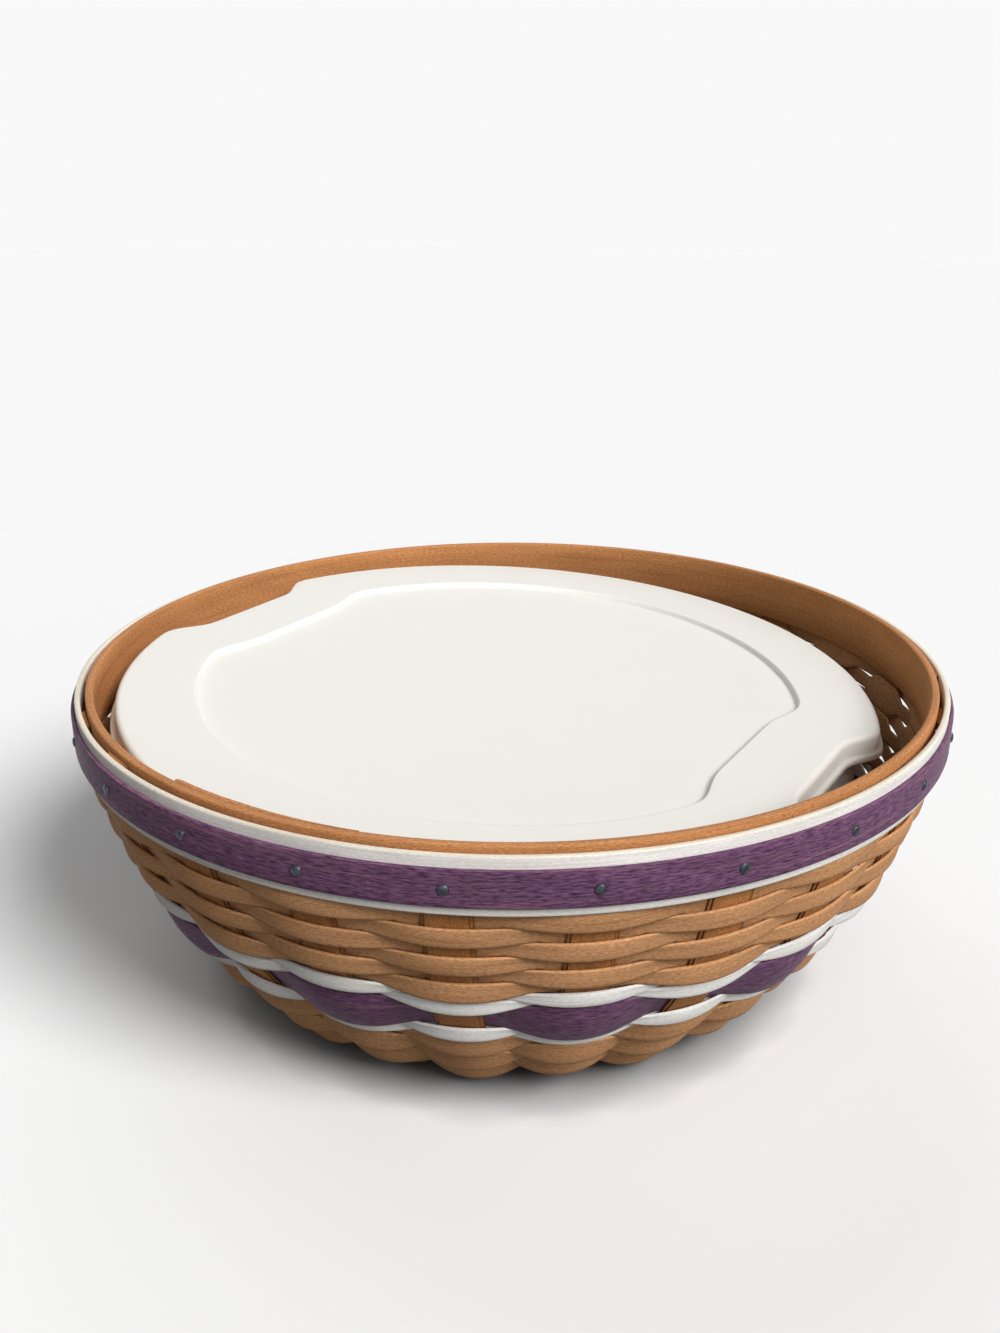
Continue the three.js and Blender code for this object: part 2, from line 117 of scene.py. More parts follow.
# Rim bands
OUTER_BAND_THICKNESS = 2.1
OUTER_BAND_HEIGHT = 19.0
INNER_BAND_THICKNESS = 3.0
INNER_BAND_HEIGHT = 21.0
INNER_BAND_RISE = 1.4  # above the rim
TRIM_THICKNESS = 1.2
TRIM_WIDTH = 12.1
TRIM_DROP = 3.6  # below the rim
TRIM_PRESS = 0.2  # the trim is pressed this much closer to the outer band than the fit gap
BAND_START = math.radians(124)  # the outer hoops start in this direction, which is out of sight
LAP_START = math.radians(-97)  # where the inner band's end is cut off over its start
LAP_END = math.radians(-72)
LAP_THICKNESS = 1.7
LAP_SCARF = 0.6  # share of the lap's length in which it thins
LAP_THIN = 0.06  # share of its thickness that is left there
LAP_CUT = 0.75  # share of its thickness at the cut
LAP_GAP = 0.15  # from the band that it lies on
LAP_TOP_INSET = 0.2  # the lap's edges lie this much inside the band's
LAP_FOOT_INSET = 0.3

# Tacks
TACK_DROP = 10.0  # below the rim
TACK_HEAD_RADIUS = 1.8
TACK_HEAD_RISE = 0.8
TACK_HEAD_GAP = 0.05  # from the trim
TACK_CROWN_RADIUS = 0.02
TACK_SHANK_RADIUS = 0.6
TACK_POINT_RADIUS = 0.05
TACK_POINT_LENGTH = 1.5

# Lid
LID_SIDE_GAP = 11.2
LID_DROP = 10.6
LID_THICKNESS = 1.6
LID_SKIRT = 10.0
LID_LIP = 2.0
LID_LIP_HEIGHT = 2.5
LID_LIP_FILLET = 1.0
LID_LIP_CHAMFER = 0.4
LID_RING = 29.0
LID_ROUND = 2.2  # radius of the lid's upper edge
LID_FLAT = 0.8  # a flat ring beside the rounding, which keeps the shading crisp
STEP_FLAT = 0.4  # the same beside the step down to the panel
PANEL_DEPTH = 2.2
PANEL_STEP_RUN = 1.5  # how far the step down to the panel runs
PANEL_STEP_INSET = 1.3  # and how much of that lies inside the panel's outline
PANEL_UNDER_INSET = 1.0  # the same on the lid's underside
NOTCH_DEPTH = 14.5
NOTCH_HALF_LENGTH = 27.5
NOTCH_HALF_MOUTH = 41.0
PANEL_CUT = 14.5
PANEL_HALF_LENGTH = 28.5
PANEL_HALF_MOUTH = 46.0
OUTLINE_SOFTNESS = math.radians(1.3)
PANEL_SOFTNESS = 1.6 * OUTLINE_SOFTNESS

# Liner, which is set askew in the bowl with the lid on it
LINER_THICKNESS = 1.5
LINER_FLANGE = 5.0
LINER_CLEARANCE = 14.0  # from the bowl's wall
LINER_FADE = 50.0  # the notches fade out this far down
LID_CLEARANCE = 0.4
LINER_CORNER_RISE = 3.0
LINER_CORNER_RUN = 8.0
LINER_SHIFT = (-2.8, -3.8)
LINER_TURN = math.radians(2.4)
LINER_TILT = math.radians(3.0)

# Sizes that follow
WEAVE_OFFSET = STAKE_THICKNESS / 2 + WEAVE_CLEARANCE + WEAVER_THICKNESS / 2
BASE_LEVEL = WEAVE_OFFSET + WEAVER_THICKNESS / 2
BASE_OFFSET = BASE_LEVEL - SPLINT / 2  # the weavers' offset under the base, which stands on the floor
WALL_RADIUS = RIM_RADIUS - OUTER_BAND_THICKNESS - FIT_GAP - STAKE_THICKNESS / 2
BAND_BOTTOM = RIM_HEIGHT - OUTER_BAND_HEIGHT
HUB_PITCH = HUB_THICKNESS + FIT_GAP
HUB_TOP = BASE_LEVEL + (STAKES - 1) * HUB_PITCH + HUB_THICKNESS / 2
TRIM_INNER = RIM_RADIUS + FIT_GAP
TRIM_OUTER = TRIM_INNER + TRIM_THICKNESS
INNER_BAND_OUTER = WALL_RADIUS - STAKE_THICKNESS / 2 - FIT_GAP
INNER_BAND_INNER = INNER_BAND_OUTER - INNER_BAND_THICKNESS
LID_TOP = RIM_HEIGHT - LID_DROP
LID_RADIUS = INNER_BAND_INNER - LID_SIDE_GAP
NOTCH_CHORD = LID_RADIUS - NOTCH_DEPTH
PANEL_RADIUS = LID_RADIUS - LID_RING
PANEL_CHORD = PANEL_RADIUS - PANEL_CUT

# Mesh detail
CORNER_SHARE = 0.26  # radius of a strip's corners, as a share of its thickness
PROFILE_STEPS = 80
STEPS_PER_UPRIGHT = 16
TIP_STEPS = 5
WALL_STEPS = 56
HUB_STEPS = 10
BAND_STEPS = 288
LAP_STEPS = 40
TACK_SIDES = 20
TACK_STEPS = 5
OUTLINE_STEPS = 360
LID_STEPS = 6
FILLET_STEPS = 2
LINER_STEPS = 16
CAP_SHARE = 0.02  # of an outline, for the small cap in the middle of the lid's and the liner's faces
PANEL_RINGS = (CAP_SHARE, 0.5, 0.9)  # rings on the flat of the panel, as shares of its outline
UNDERSIDE_RINGS = (0.5, CAP_SHARE)

# Each strip's grain is shifted along and round it from the last one's, so that no two look alike
ROW_SHIFT = (410, 37)
STAKE_SHIFT = (530, 41)
BAND_SHIFT = (700, 53)
LAP_SHIFT = 300


def srgb(red, green, blue):
    """An eight-bit screen colour as linear values with alpha."""
    parts = []
    for value in (red, green, blue):
        v = value / 255
        parts.append(v / 12.92 if v <= 0.04045 else ((v + 0.055) / 1.055) ** 2.4)
    return (*parts, 1.0)


def grey(value):
    return (value, value, value, 1.0)


# Material nodes
def new_material(name):
    material = bpy.data.materials.new(name)
    material.use_nodes = True
    tree = material.node_tree
    return material, tree, tree.nodes["Principled BSDF"]


def add_uv(tree, layer):
    node = tree.nodes.new("ShaderNodeUVMap")
    node.uv_map = layer
    return node.outputs["UV"]


def add_noise(tree, source, scale, detail=4.0, roughness=0.55):
    """Noise over a coordinate stretched by a scale along each axis."""
    mapping = tree.nodes.new("ShaderNodeMapping")
    mapping.inputs["Scale"].default_value = scale
    tree.links.new(source, mapping.inputs["Vector"])
    noise = tree.nodes.new("ShaderNodeTexNoise")
    noise.inputs["Scale"].default_value = 1.0
    noise.inputs["Detail"].default_value = detail
    noise.inputs["Roughness"].default_value = roughness
    tree.links.new(mapping.outputs["Vector"], noise.inputs["Vector"])
    return noise.outputs["Fac"]


def add_ramp(tree, source, start, end):
    """A colour that runs from a start to an end, each given as the source's value and a colour."""
    ramp = tree.nodes.new("ShaderNodeValToRGB")
    for element, (position, color) in zip(ramp.color_ramp.elements, (start, end)):
        element.position = position
        element.color = color
    tree.links.new(source, ramp.inputs["Fac"])
    return ramp.outputs["Color"]


def add_mix(tree, factor, first, second, blend="MIX"):
    mix = tree.nodes.new("ShaderNodeMix")
    mix.data_type = "RGBA"
    mix.blend_type = blend
    for value, socket in ((factor, mix.inputs[0]), (first, mix.inputs[6]), (second, mix.inputs[7])):
        if isinstance(value, (float, tuple)):
            socket.default_value = value
        else:
            tree.links.new(value, socket)
    return mix.outputs[2]


# Wood: marks to the metre, along and across a strip
FINE_FLECKS = (620.0, 2600.0)
COARSE_FLECKS = (260.0, 1900.0)
LINES = (30.0, 1500.0)
BLOTCHES = (18.0, 90.0)
STREAKS = (16.0, 420.0)

# Wood: where in the noise its tones begin and end, and the tones
FLECK_RANGE = (0.36, 0.62)
STREAK_RANGE = (0.54, 0.7)
BLOTCH_TONES = ((0.3, 0.84), (0.7, 1.06))
LINE_TONES = ((0.3, 0.86), (0.55, 1.02))

# Wood: tones of the edges, painted highlight and painted shade on the strips, and cut-edge tones on the
# bands' tops
PAINTED_EDGE_HIGHLIGHT = (1.22, 1.2, 1.18)  # painted highlight on a strip's upper edge, where light from above falls on it
PAINTED_EDGE_SHADE = (0.5, 0.47, 0.45)  # painted shade on a strip's lower edge, over the row below, and on both edges of an upright beside the weavers
# the same painted shade, fainter, on the white strips' lower edges
PALE_PAINTED_EDGE_SHADE = (0.82, 0.8, 0.77)
BAND_WORN = (1.12, 1.12, 1.2)
CREAMY = (1.1, 1.04, 0.92)
PLAIN = (1.0, 1.0, 1.0)
EDGE_FADE = 0.1  # an edge's tone begins to fade this far from the edge
UPPER_EDGE = 0.45  # and is gone this far from the upper edge
LOWER_EDGE = 0.8


def wood(name, light, dark, streak, streak_amount, upper_edge, lower_edge, fleck_size, roughness=0.55):
    """Stained splint: flecks of grain along the strip, soft blotches, faint longer streaks and edges of
    another tone: painted highlight on an upper edge, painted shade on a lower edge, or a cut-edge tone."""
    material, tree, shader = new_material(name)
    grain = add_uv(tree, "grain")
    flecks = add_noise(tree, grain, (*fleck_size, 1.0), detail=5.0, roughness=0.62)
    lines = add_noise(tree, grain, (*LINES, 1.0), detail=3.0)
    blotches = add_noise(tree, grain, (*BLOTCHES, 1.0), detail=3.0)
    streaks = add_noise(tree, grain, (*STREAKS, 1.0))
    color = add_ramp(tree, flecks, (FLECK_RANGE[0], dark), (FLECK_RANGE[1], light))
    tint = add_ramp(tree, streaks, (STREAK_RANGE[0], grey(0.0)), (STREAK_RANGE[1], grey(streak_amount)))
    color = add_mix(tree, tint, color, streak)
    for marks, tones in ((blotches, BLOTCH_TONES), (lines, LINE_TONES)):
        start, end = [(position, grey(tone)) for position, tone in tones]
        color = add_mix(tree, 1.0, color, add_ramp(tree, marks, start, end), "MULTIPLY")
    edges = tree.nodes.new("ShaderNodeSeparateXYZ")
    tree.links.new(add_uv(tree, "edge"), edges.inputs["Vector"])
    # Edge tones: painted highlight and painted shade at the strips' edges, or the bands' cut-edge tones
    for side, tone, reach in (("X", upper_edge, UPPER_EDGE), ("Y", lower_edge, LOWER_EDGE)):
        shade = add_ramp(tree, edges.outputs[side], (EDGE_FADE, (*tone, 1.0)), (reach, grey(1.0)))
        color = add_mix(tree, 1.0, color, shade, "MULTIPLY")
    tree.links.new(color, shader.inputs["Base Color"])
    shader.inputs["Roughness"].default_value = roughness
    shader.inputs["Specular IOR Level"].default_value = 0.03
    bumps = tree.nodes.new("ShaderNodeBump")
    bumps.inputs["Strength"].default_value = 0.3
    bumps.inputs["Distance"].default_value = 0.0003
    tree.links.new(flecks, bumps.inputs["Height"])
    tree.links.new(bumps.outputs["Normal"], shader.inputs["Normal"])
    return material


BROWN = wood(
    "brown_splint",
    light=srgb(212, 161, 116),
    dark=srgb(172, 122, 82),
    streak=srgb(150, 98, 60),
    streak_amount=0.35,
    upper_edge=PAINTED_EDGE_HIGHLIGHT,
    lower_edge=PAINTED_EDGE_SHADE,
    fleck_size=FINE_FLECKS,
)
UPRIGHT_BROWN = wood(
    "upright_splint",
    light=srgb(196, 136, 84),
    dark=srgb(146, 96, 54),
    streak=srgb(132, 82, 44),
    streak_amount=0.4,
    upper_edge=PAINTED_EDGE_SHADE,
    lower_edge=PAINTED_EDGE_SHADE,
    fleck_size=FINE_FLECKS,
)
WHITE = wood(
    "white_splint",
    light=srgb(250, 248, 244),
    dark=srgb(230, 226, 220),
    streak=srgb(232, 225, 212),
    streak_amount=0.4,
    upper_edge=PLAIN,
    lower_edge=PALE_PAINTED_EDGE_SHADE,
    fleck_size=FINE_FLECKS,
)
BAND_WHITE = wood(
    "band_white",
    light=srgb(246, 243, 238),
    dark=srgb(222, 217, 210),
    streak=srgb(228, 219, 204),
    streak_amount=0.4,
    upper_edge=CREAMY,
    lower_edge=PLAIN,
    fleck_size=FINE_FLECKS,
)
PURPLE = wood(
    "purple_splint",
    light=srgb(132, 93, 125),
    dark=srgb(66, 42, 66),
    streak=srgb(168, 124, 130),
    streak_amount=0.5,
    upper_edge=PAINTED_EDGE_HIGHLIGHT,
    lower_edge=PAINTED_EDGE_SHADE,
    fleck_size=COARSE_FLECKS,
    roughness=0.42,
)
BAND_BROWN = wood(
    "band_wood",
    light=srgb(210, 150, 98),
    dark=srgb(166, 109, 66),
    streak=srgb(152, 98, 56),
    streak_amount=0.35,
    upper_edge=BAND_WORN,
    lower_edge=PAINTED_EDGE_SHADE,
    fleck_size=FINE_FLECKS,
    roughness=0.5,
)

# Plastic and steel: marks of wear to the metre, and where in the noise their tones begin and end
SCUFFS = (35.0, 35.0, 35.0)
SCUFF_RANGE = (0.35, 0.7)
SPECKS = (900.0, 900.0, 900.0)
SPECK_RANGE = (0.3, 0.7)


def plastic(name, color, roughness, scuff=0.0, clearness=0.0):
    """Moulded plastic, a little translucent, with fine wear in its gloss where it is scuffed."""
    material, tree, shader = new_material(name)
    shader.inputs["Base Color"].default_value = color
    shader.inputs["Subsurface Weight"].default_value = 0.25
    shader.inputs["Subsurface Radius"].default_value = (1.0, 1.0, 0.95)
    shader.inputs["Subsurface Scale"].default_value = 0.004
    shader.inputs["Transmission Weight"].default_value = clearness
    shader.inputs["Roughness"].default_value = roughness
    if scuff:
        place = tree.nodes.new("ShaderNodeTexCoord").outputs["Object"]
        wear = add_noise(tree, place, SCUFFS, detail=6.0, roughness=0.65)
        start = (SCUFF_RANGE[0], grey(roughness - scuff))
        end = (SCUFF_RANGE[1], grey(roughness + scuff))
        gloss = add_ramp(tree, wear, start, end)
        tree.links.new(gloss, shader.inputs["Roughness"])
    return material


def steel(name):
    """Dark steel, mottled by wear."""
    material, tree, shader = new_material(name)
    shader.inputs["Metallic"].default_value = 1.0
    place = tree.nodes.new("ShaderNodeTexCoord").outputs["Object"]
    wear = add_noise(tree, place, SPECKS, detail=3.0)
    tone = add_ramp(tree, wear, (SPECK_RANGE[0], srgb(44, 46, 51)), (SPECK_RANGE[1], srgb(78, 82, 89)))
    tree.links.new(tone, shader.inputs["Base Color"])
    shader.inputs["Roughness"].default_value = 0.42
    return material


STEEL = steel("tack_steel")
LID_PLASTIC = plastic("lid_plastic", srgb(242, 240, 232), roughness=0.42, scuff=0.06)
LINER_PLASTIC = plastic("liner_plastic", srgb(234, 238, 235), roughness=0.3, clearness=0.25)


# Meshes
def add_object(name, points, faces, uvs, edges, material, sharp_angle=50):
    """A smooth-shaded mesh with its grain laid out in metres and, for a strip, the distances from
    its edges in millimetres."""
    mesh = bpy.data.meshes.new(name)
    mesh.from_pydata([tuple(p) for p in np.asarray(points) * MM], [], faces)
    mesh.uv_layers.new(name="grain").data.foreach_set("uv", np.asarray(uvs, dtype=float).ravel() * MM)
    if edges is not None:
        corners = np.zeros(len(mesh.loops), dtype=int)
        mesh.loops.foreach_get("vertex_index", corners)
        mesh.uv_layers.new(name="edge").data.foreach_set("uv", edges.reshape(-1, 2)[corners].ravel())
    mesh.materials.append(material)
    mesh.shade_smooth()
    mesh.set_sharp_from_angle(angle=math.radians(sharp_angle))
    mesh.update()
    piece = bpy.data.objects.new(name, mesh)
    bpy.context.scene.collection.objects.link(piece)
    return piece


def signed_volume(mesh):
    """A volume that is negative where the faces look inward."""
    mesh.calc_loop_triangles()
    points = np.array([v.co for v in mesh.vertices])
    corners = points[np.array([t.vertices for t in mesh.loop_triangles])]
    return np.einsum("ij,ij->", corners[:, 0], np.cross(corners[:, 1], corners[:, 2]))


def sweep(name, sections, along, across, is_loop, material, edges=None):
    """A closed skin through sections of equal point count, with its ends joined or capped. The
    edges give each point's distance from the strip's upper and lower edge."""
    count, sides = sections.shape[:2]
    faces = []
    uvs = []
    spans = count if is_loop else count - 1
    for i in range(spans):
        n = (i + 1) % count
        for j in range(sides):
            k = (j + 1) % sides
            faces.append((i * sides + j, i * sides + k, n * sides + k, n * sides + j))
            here = (along[i], along[i + 1])
            side = (across[j], across[j + 1])
            uvs += [(here[0], side[0]), (here[0], side[1]), (here[1], side[1]), (here[1], side[0])]
    if not is_loop:
        for row, order in ((0, -1), (count - 1, 1)):
            faces.append(tuple(row * sides + j for j in range(sides))[::order])
            uvs += [(along[row], across[j]) for j in range(sides)][::order]
    piece = add_object(name, sections.reshape(-1, 3), faces, uvs, edges, material)
    if signed_volume(piece.data) < 0:
        piece.data.flip_normals()
    return piece


def rounded_section(corner_points=3, face_points=3):
    """Points of a strip's rounded section: share of the half width and of the half thickness,
    and the part of the corner radius that is taken off each."""
    points = []
    for turn, (sx, sy) in enumerate(((1, 1), (-1, 1), (-1, -1), (1, -1))):
        for step in range(corner_points):
            angle = math.pi / 2 * (turn + step / (corner_points - 1))
            points.append((sx, sy, math.cos(angle) - sx, math.sin(angle) - sy))
        if sx == sy:
            for step in range(1, face_points + 1):
                points.append((sx * (1 - 2 * step / (face_points + 1)), sy, 0, 0))
    return np.array(points)


SECTION = rounded_section()


def strip_section(half_width, half_thickness, camber=0.0):
    """Section points as distances across and through a strip, whose middle stands out by a camber."""
    radius = 2 * half_thickness * CORNER_SHARE
    across = SECTION[:, 0] * half_width + SECTION[:, 2] * radius
    through = SECTION[:, 1] * half_thickness + SECTION[:, 3] * radius
    return across, through + camber * (1 - (across / half_width) ** 2)


def edge_distances(across, half_width):
    """Distances of section points from a strip's upper and lower edge."""
    return np.stack([half_width + across, half_width - across], axis=-1)


def round_uv(across, through):
    """Distances round a section, for the grain."""
    closed = np.append(across, across[0]), np.append(through, through[0])
    return np.append(0, np.cumsum(np.hypot(np.diff(closed[0]), np.diff(closed[1]))))


def around_axis(angle, along, aside, height):
    """Points that lie along and aside of a direction from the bowl's axis, at a height."""
    x = along * math.cos(angle) - aside * math.sin(angle)
    y = along * math.sin(angle) + aside * math.cos(angle)
    return np.stack(np.broadcast_arrays(x, y, height), axis=-1)


def ease(value, low, high):
    """A smooth rise from 0 to 1 between two values."""
    share = np.clip((value - low) / (high - low), 0, 1)
    return share * share * (3 - 2 * share)


def settle(piece, body, nodes):
    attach(piece, body)
    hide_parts(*nodes)
    return piece


# The bowl's wall
def sample_profile():
    """A smooth curve through the profile's knots and in under the base, and the distance along it."""
    run = BASE_RADIUS - WALL_RADIUS
    fall = BASE_LEVEL - BAND_BOTTOM
    knots = [(WALL_RADIUS + run * inward, BAND_BOTTOM + fall * down) for inward, down in PROFILE_SHAPE]
    knots += [((BASE_RADIUS + WEAVE_END) / 2, BASE_LEVEL), (WEAVE_END, BASE_LEVEL)]
    knots = np.array(knots)
    points = []
    for i in range(len(knots) - 1):
        before = knots[max(i - 1, 0)]
        start, end = knots[i], knots[i + 1]
        after = knots[min(i + 2, len(knots) - 1)]
        lead, trail = (end - before) / 2, (after - start) / 2
        for t in np.linspace(0, 1, PROFILE_STEPS, endpoint=False):
            points.append(
                (2 * start - 2 * end + lead + trail) * t**3
                + (-3 * start + 3 * end - 2 * lead - trail) * t**2
                + lead * t
                + start
            )
    points.append(knots[-1])
    points = np.array(points)
    points[:, 1] = np.maximum(points[:, 1], BASE_LEVEL)
    length = np.append(0, np.cumsum(np.hypot(*np.diff(points, axis=0).T)))
    return points, length


PROFILE, PROFILE_DISTANCE = sample_profile()
PROFILE_LENGTH = PROFILE_DISTANCE[-1]
PROFILE_TANGENT = np.gradient(PROFILE, PROFILE_DISTANCE, axis=0)


def wall_at(distance):
    """Radius, height and outward direction of the wall at distances down the profile."""

    def pick(values):
        return np.interp(distance, PROFILE_DISTANCE, values)

    tangent = np.stack([pick(PROFILE_TANGENT[:, 0]), pick(PROFILE_TANGENT[:, 1])])
    tangent = tangent / np.hypot(*tangent)
    return pick(PROFILE[:, 0]), pick(PROFILE[:, 1]), -tangent[1], tangent[0]


def wall_radius_at(height):
    """Radius of the wall at a height."""
    return float(np.interp(-height, -PROFILE[:, 1], PROFILE[:, 0]))


def upright_angle(index):
    return FIRST_UPRIGHT + SPACING * index


def stake_width(radius):
    return np.clip(2 * math.pi * np.abs(radius) / UPRIGHTS - STAKE_SPACE, HUB_WIDTH, STAKE_WIDTH)


# Weavers
def weave_side(row, turn, radius):
    """Which side of the uprights a row is on, from 1 outside to -1 inside, at a turn in uprights."""
    nearest = np.round(turn)
    half_space = math.pi * radius / UPRIGHTS
    plateau = stake_width(radius) / 2
    aside = np.abs(turn - nearest) * 2 * half_space
    swing = np.clip((aside - plateau) / (2 * (half_space - plateau)), 0, 0.5)
    side = np.where((nearest + row) % 2 == 1, 1.0, -1.0)
    wave = np.cos(math.pi * aside / (2 * half_space))
    return side * (ROUNDNESS * wave + (1 - ROUNDNESS) * np.cos(math.pi * swing))


def weave_crown(turn):
    """A swell that is 1 over each upright and 0 halfway to the next."""
    return np.cos(math.pi * (turn - np.round(turn))) ** 2


def row_drift(row, turn):
    """A slow unevenness round a row."""
    angle = 2 * math.pi * turn / UPRIGHTS
    return DRIFT * sum(share * np.sin(waves * angle + lag * row) for waves, lag, share in DRIFT_WAVES) / 2


def weaver(name, row, upper, lower, material):
    """One closed hoop of weaving between an upper and a lower edge."""
    count = UPRIGHTS * STEPS_PER_UPRIGHT
    turn = BACK_UPRIGHT + np.arange(count) / STEPS_PER_UPRIGHT
    radius, _, _, down = wall_at((upper["distance"] + lower["distance"]) / 2)
    width = lower["distance"] - upper["distance"]
    side = weave_side(row, turn, radius)
    behind = ease(-side, TUCK_START, TUCK_FULL)
    top = upper["distance"] + upper["bow"] * weave_side(upper["row"], turn, radius) + EDGE_GAP / 2
    top = top - upper["tuck"] * behind
    bottom = lower["distance"] + lower["bow"] * side - EDGE_GAP / 2 + lower["tuck"] * behind
    drift = row_drift(row, turn)
    depth = min(lower["distance"] / LOOSE_DISTANCE, 1)
    is_base = wall_at(upper["distance"])[1] < BASE_LEVEL + WEAVER_THICKNESS
    reach = BASE_OFFSET if is_base else TIGHT_OFFSET + (LOOSE_OFFSET - TIGHT_OFFSET) * depth
    stand = 0 if is_base else min(math.tan(STAND * math.asin(-down)), STAND_OUT / width)
    outside = np.clip(side, 0, 1)
    offset = reach * side + CROWN * weave_crown(turn) * outside
    camber = CAMBER * (bottom - top) * outside
    sections = []
    edges = []
    for i in range(count):
        half_width = (bottom[i] - top[i]) / 2
        across, through = strip_section(half_width, SPLINT / 2, camber[i])
        r, z, out_r, out_z = wall_at((bottom[i] + top[i]) / 2 + drift[i] + across)
        out = offset[i] + through + stand * np.maximum(across + side[i] * half_width, 0)
        height = np.maximum(z + out * out_z, 0)
        sections.append(around_axis(upright_angle(turn[i]), r + out * out_r, 0.0, height))
        edges.append(edge_distances(across, half_width))
    lengths = radius * SPACING * np.arange(count + 1) / STEPS_PER_UPRIGHT + ROW_SHIFT[0] * row
    around = round_uv(*strip_section(width / 2, SPLINT / 2)) + ROW_SHIFT[1] * row
    return sweep(name, np.array(sections), lengths, around, True, material, np.array(edges))


def weave_rows():
    """Rows from the rim down: name, width, material, slot and how far the edge below bows."""
    rows = [(f"brown_weaver_{n}", BROWN_WIDTH, BROWN, "brown_splint", BROWN_BOW) for n in range(1, 6)]
    rows += [
        ("brown_weaver_6", BROWN_WIDTH, BROWN, "brown_splint", LAST_BROWN_BOW),
        ("white_weaver_1", WHITE_WIDTH, WHITE, "white_splint", WHITE_BOW),
        ("white_weaver_2", WHITE_WIDTH, WHITE, "white_splint", PURPLE_TOP_BOW),
        ("purple_weaver", PURPLE_WIDTH, PURPLE, "purple_splint", PURPLE_BOW),
        ("white_weaver_3", WHITE_WIDTH, WHITE, "white_splint", LOWER_WHITE_BOW),
        ("white_weaver_4", WHITE_WIDTH, WHITE, "white_splint", LAST_WHITE_BOW),
    ]
    rows += [(f"lower_weaver_{n}", LOWER_WIDTH, BROWN, "brown_splint", LOWER_BOW) for n in range(1, 6)]
    used = ROW_GAP + sum(row[1] for row in rows)
    base_width = (PROFILE_LENGTH - used) / BASE_ROWS
    rows += [(f"base_weaver_{n}", base_width, BROWN, "brown_splint", 0.0) for n in range(1, BASE_ROWS + 1)]
    return rows


def build_weave():
    upper = {"distance": 0.0, "bow": 0.0, "row": -1, "tuck": 0.0}
    rows = weave_rows()
    for row, (node, width, material, slot, bow) in enumerate(rows):
        width += ROW_GAP if row == 0 else 0
        next_width = rows[min(row + 1, len(rows) - 1)][1]
        tuck = TUCK * min(width, next_width)
        lower = {"distance": upper["distance"] + width, "bow": bow, "row": row, "tuck": tuck}
        piece = weaver(f"{node}_strip", row, upper, lower, material)
        settle(piece, "basket", [node])
        upper = lower


# Stakes
def half_stake(layer):
    """Stations from an upright's tip down the wall and over the base to the pile in the middle:
    radius, height and outward direction, and the stake's thickness there."""
    tip = RIM_HEIGHT - TIP_DROP + TIP_UNEVENNESS * math.sin(TIP_PHASE * layer)
    rim_heights = np.linspace(tip, BAND_BOTTOM, TIP_STEPS + 1)[:-1]
    rim_radius = np.full(TIP_STEPS, WALL_RADIUS)
    rim = np.stack([rim_radius, rim_heights, np.ones(TIP_STEPS), np.zeros(TIP_STEPS)], axis=1)
    wall = np.stack(wall_at(np.linspace(0, PROFILE_LENGTH * STAKE_RUN, WALL_STEPS)), axis=1)
    run = np.linspace(0, 1, HUB_STEPS)
    radius = HUB_FOOT_RADIUS + (HUB_RADIUS - HUB_FOOT_RADIUS) * run
    lift = layer * HUB_PITCH * (3 * run**2 - 2 * run**3)
    hub = np.stack([radius, BASE_LEVEL + lift, np.zeros(HUB_STEPS), -np.ones(HUB_STEPS)], axis=1)
    stations = np.concatenate([rim, wall, hub])
    thickness = np.full(len(stations), STAKE_THICKNESS)
    thickness[-HUB_STEPS:] = STAKE_THICKNESS + (HUB_THICKNESS - STAKE_THICKNESS) * run
    return stations, thickness


def stake_ply(name, index, inward, outward, narrower):
    """One ply of a stake, between two shares of its thickness, narrowed at each side."""
    half, thick = half_stake(index)
    other = half[::-1] * np.array([-1, 1, -1, 1])
    stations = np.concatenate([half, other])
    thick = np.concatenate([thick, thick[::-1]])
    angle = upright_angle(index)
    sections = []
    edges = []
    for i, (r, z, out_r, out_z) in enumerate(stations):
        half_width = stake_width(r) / 2 - narrower
        half_thick = thick[i] * (outward - inward) / 2
        middle = thick[i] * (outward + inward) / 2
        across, through = strip_section(float(half_width), half_thick)
        out = middle + through
        sections.append(around_axis(angle, r + out * out_r, across, z + out * out_z))
        edges.append(edge_distances(across, half_width))
    moves = np.hypot(np.diff(stations[:, 0]), np.diff(stations[:, 1]))
    lengths = np.append(0, np.cumsum(moves)) + STAKE_SHIFT[0] * index
    around = round_uv(*strip_section(STAKE_WIDTH / 2, STAKE_THICKNESS / 4)) + STAKE_SHIFT[1] * index
    return sweep(name, np.array(sections), lengths, around, False, UPRIGHT_BROWN, np.array(edges))


def build_stakes():
    for index in range(STAKES):
        node = f"stake_{index + 1:02d}"
        outer = stake_ply(f"{node}_outer_ply", index, PLY_GAP, 0.5, PLY_STEP)
        settle(outer, "basket", [node])
        inner = stake_ply(f"{node}_inner_ply", index, -0.5, -PLY_GAP, 0.0)
        settle(inner, "basket", [node])


# Rim bands
def hoop(name, inner, outer, bottom, top, material, seed, start=BAND_START):
    """A closed band between two radii and two heights."""
    turns = np.arange(BAND_STEPS + 1) * 2 * math.pi / BAND_STEPS
    half_width = (top - bottom) / 2
    across, through = strip_section(half_width, (outer - inner) / 2)
    along = (inner + outer) / 2 + through
    height = (top + bottom) / 2 + across
    sections = np.array([around_axis(start + turn, along, 0.0, height) for turn in turns[:-1]])
    edges = np.tile(edge_distances(-across, half_width), (BAND_STEPS, 1))
    lengths = outer * turns + BAND_SHIFT[0] * seed
    around = round_uv(across, through) + BAND_SHIFT[1] * seed
    return sweep(name, sections, lengths, around, True, material, edges)


